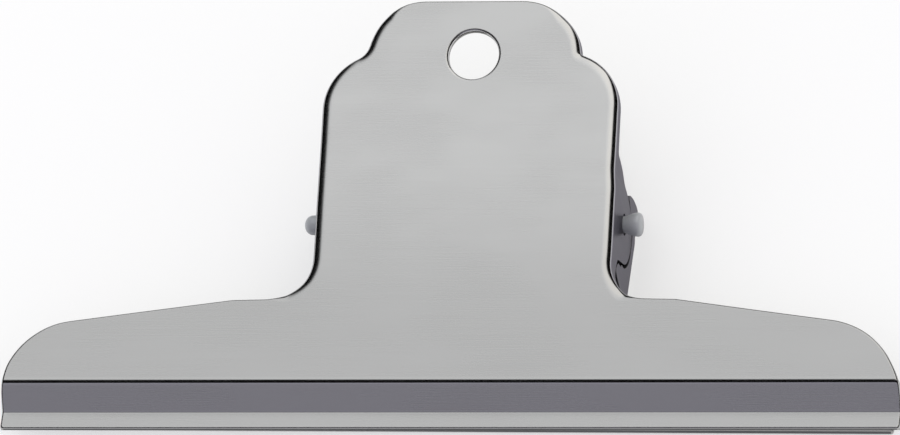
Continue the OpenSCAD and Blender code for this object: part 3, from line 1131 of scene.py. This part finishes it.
# %% [markdown]
# The rear ears have to pass inside the front ones, so each is jogged inwards by one
# sheet and a little air before it rises round the pin. The same pressing function
# makes them: here the blank stands on edge, and the jog is a smooth step on its
# height.

# %% Rear ears
JOG_LOW, JOG_HIGH, EAR_FOOT = 1.4, 3.0, 1.1
JOG_ROWS = 8
EAR_ARC_STEP = 5.0


def ear_place(side):
    """Sets a blank of (along Y, height, thickness) up as the ear on one side."""
    def place(y, height, depth):
        jog = (sheet + ear_gap + rear_side_half - handle_half) * ramp(height, JOG_LOW, JOG_HIGH)
        return Vector((side * (rear_side_half - jog - depth) + drift(pin_height), y, height))
    return place


def joined(name, parts):
    """One mesh out of several."""
    mesh = bmesh.new()
    for part in parts:
        mesh.from_mesh(part)
        bpy.data.meshes.remove(part)
    data = bpy.data.meshes.new(name)
    mesh.to_mesh(data)
    mesh.free()
    return data


ear_outline = arc((0.0, pin_depth), ear_radius, 90, 0, EAR_ARC_STEP)
ear_outline += [(ear_radius, EAR_FOOT, 1.0, 0.0), (0.0, EAR_FOOT, 0.0, -1.0)]
jog_rows = [JOG_LOW + (JOG_HIGH - JOG_LOW) * i / JOG_ROWS for i in range(JOG_ROWS + 1)]
ear_hole = ((0.0, pin_depth), pin_radius, 0.0)
ears = [pressing("rear_ear", whole_loop(ear_outline), [], ear_hole, jog_rows, [(JOG_LOW, JOG_HIGH)],
                 ear_place(side)) for side in (1, -1)]
rear_data = joined("rear_pressing", [rear_data] + ears)
rear_piece = smooth_object("rear_pressing", rear_data, plate_finishes)
print("rear pressing with ears", len(rear_data.vertices), "points")

# %% [markdown]
# The pin is turned from bar with one domed end, and its other end is flared with a
# punch so that it can't slip out. A profile of radius against distance from the
# end, spun about the axis, is all it needs.

# %% Pin
PIN_SIDES = 48
PIN_SHARP_DEG = 60.0
DOME_REACH, FLARE_REACH = pin_half - 0.05, pin_half + 0.12
PIN_DOME = [(0.0, 0.0), (0.08, 0.55), (0.25, 0.92), (0.52, 1.2), (0.9, 1.38), (1.4, 1.42),
            (2.7, 1.42), (2.85, 1.5)]
PIN_FLARE = [(0.0, 0.0), (0.04, 0.9), (0.12, 1.3), (0.28, 1.56), (0.5, 1.69), (0.75, 1.73),
             (1.3, 1.64), (2.0, 1.42), (2.6, 1.2), (2.95, 1.15), (3.1, 1.5)]


def pin_ring(mesh, x, radius):
    """The points of the pin at x: a circle, or one point at an end."""
    if radius == 0:
        return [mesh.verts.new((x * MM, 0, pin_depth * MM))]
    turns = [2 * math.pi * i / PIN_SIDES for i in range(PIN_SIDES)]
    return [mesh.verts.new((x * MM, radius * MM * math.cos(a), (pin_depth + radius * math.sin(a)) * MM))
            for a in turns]


def turned_pin():
    profile = [(-DOME_REACH + d, r) for d, r in PIN_DOME]
    profile += [(FLARE_REACH - d, r) for d, r in reversed(PIN_FLARE)]
    mesh = bmesh.new()
    rings = [pin_ring(mesh, x, radius) for x, radius in profile]
    for first, second in zip(rings, rings[1:]):
        for i in range(PIN_SIDES):
            corners = [first[i % len(first)], first[(i + 1) % len(first)],
                       second[(i + 1) % len(second)], second[i % len(second)]]
            mesh.faces.new(list(dict.fromkeys(corners)))
    return finished_mesh("turned_pin", mesh)


pin_piece = smooth_object("turned_pin", turned_pin(), (pin_steel,), PIN_SHARP_DEG)
print("pin", len(pin_piece.data.vertices), "points")

# %% [markdown]
# One wire makes the whole spring. Each half starts with an arm on the rear plate,
# winds three and a half turns round the pin, and runs up under the front plate, where
# a bridge joins the two. The left half is a list of centre points, and the right one
# is its mirror image.

# %% Spring path
WIRE_RADIUS = 0.8
TURN_GAP = 0.6
TURN_STEP = 2 * WIRE_RADIUS + TURN_GAP
COIL_CLEAR = 0.7
COIL_RADIUS = pin_radius + COIL_CLEAR + WIRE_RADIUS
COIL_TURNS = 3
COIL_START = 4.5
COIL_POINTS = 96
ARM_REACH = 16.0
ARM_GAP = 0.3
ARM_POINTS = 8
WIRE_BEND = 2.0
arm_drop = pin_depth - sheet - WIRE_RADIUS - ARM_GAP
arm_dip = math.asin((arm_drop - COIL_RADIUS) / ARM_REACH)
coil_angle = math.pi + 2 * math.pi * COIL_TURNS - lean - 2 * arm_dip
coil_length = TURN_STEP * coil_angle / (2 * math.pi)
arm_end = ARM_REACH * math.cos(arm_dip) - COIL_RADIUS * math.sin(arm_dip)


def half_wire():
    """Centre points of the left half in the pin's frame, from the rear arm's tip to the bridge."""
    leaned = Matrix.Rotation(lean, 3, "X")
    rear_end = Vector((-COIL_START - coil_length, arm_end + 2 * WIRE_RADIUS, -arm_drop))
    front_end = leaned @ Vector((-COIL_START, arm_end, arm_drop))
    coil = []
    for i in range(COIL_POINTS + 1):
        share = i / COIL_POINTS
        a = -math.pi / 2 - arm_dip - coil_angle * share
        coil.append(Vector((-COIL_START - coil_length * (1 - share), COIL_RADIUS * math.cos(a),
                            COIL_RADIUS * math.sin(a))))
    along_arm = [i / ARM_POINTS for i in range(1, ARM_POINTS)]
    points = [rear_end + Vector((0, 2 * WIRE_RADIUS, 0)), rear_end]
    points += [rear_end.lerp(coil[0], share) for share in along_arm] + coil
    points += [coil[-1].lerp(front_end, share) for share in along_arm]
    for i in range(ARM_POINTS + 1):
        a = math.pi / 2 * i / ARM_POINTS
        points.append(leaned @ Vector((-COIL_START + WIRE_BEND * (1 - math.cos(a)),
                                       arm_end + WIRE_BEND * math.sin(a), arm_drop)))
    return points


left_wire = half_wire()
right_wire = [Vector((-p.x, p.y, p.z)) for p in reversed(left_wire)]
print("spring path of", 2 * len(left_wire), "points, coils", round(coil_length, 1), "mm long")

# %% [markdown]
# A ring carried along the path makes the wire. At each point its first direction is
# the last one made square to the path, so the ring never twists. The cut ends are
# drawn in a little, as a cutter leaves them.

# %% Spring wire
WIRE_SIDES = 16
END_INSET, END_SHARE = 0.25, 0.75


def wire_ring(mesh, centre, side, other, radius):
    """A ring of points round a centre of the path."""
    ring = []
    for k in range(WIRE_SIDES):
        a = 2 * math.pi * k / WIRE_SIDES
        place = centre + radius * (math.cos(a) * side + math.sin(a) * other) + Vector((0, 0, pin_depth))
        ring.append(mesh.verts.new(place * MM))
    return ring


def wire_tube(path, radius):
    """A closed round tube along a path."""
    mesh = bmesh.new()
    side = Vector((1, 0, 0))
    rings = []
    last = len(path) - 1
    ends = {0: [(0.0, END_SHARE), (END_INSET, 1.0)], last: [(-END_INSET, 1.0), (0.0, END_SHARE)]}
    for i, point in enumerate(path):
        along = (path[min(i + 1, last)] - path[max(i - 1, 0)]).normalized()
        side = (side - side.dot(along) * along).normalized()
        for push, share in ends.get(i, [(0.0, 1.0)]):
            rings.append(wire_ring(mesh, point + along * push, side, along.cross(side), radius * share))
    for first, second in zip(rings, rings[1:]):
        for k in range(WIRE_SIDES):
            n = (k + 1) % WIRE_SIDES
            mesh.faces.new((first[k], first[n], second[n], second[k]))
    mesh.faces.new(rings[0])
    mesh.faces.new(rings[-1][::-1])
    return finished_mesh("spring_wire", mesh)


spring_piece = smooth_object("spring_wire", wire_tube(left_wire + right_wire, WIRE_RADIUS), (spring_steel,))
print("spring wire", len(spring_piece.data.vertices), "points")

# %% [markdown]
# Each piece rides on a body of the working model, and stands for the solid it dresses.
# The spring crosses the hinge, so it is blended: its rear arms stay, its front arms
# go with the front plate, and the coils wind up between them.

# %% Ride and replace
BLEND_REACH = 2.2

for piece, body, node, slot in ((front_piece, "front_half", "front_plate", "plate"),
                                (rear_piece, "rear_half", "rear_plate", "plate"),
                                (pin_piece, "rear_half", "pivot_pin", "pin")):
    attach(piece, body)
    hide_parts(node)
middle = Vector((0, -math.sin(lean / 2), math.cos(lean / 2))) * BLEND_REACH
pin_axis = Vector((0, 0, pin_depth))
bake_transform(spring_piece, "rear_half", "front_half", start=tuple((pin_axis - middle) * MM),
         end=tuple((pin_axis + middle) * MM))
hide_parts("spring")
print("four pieces ride on two bodies")
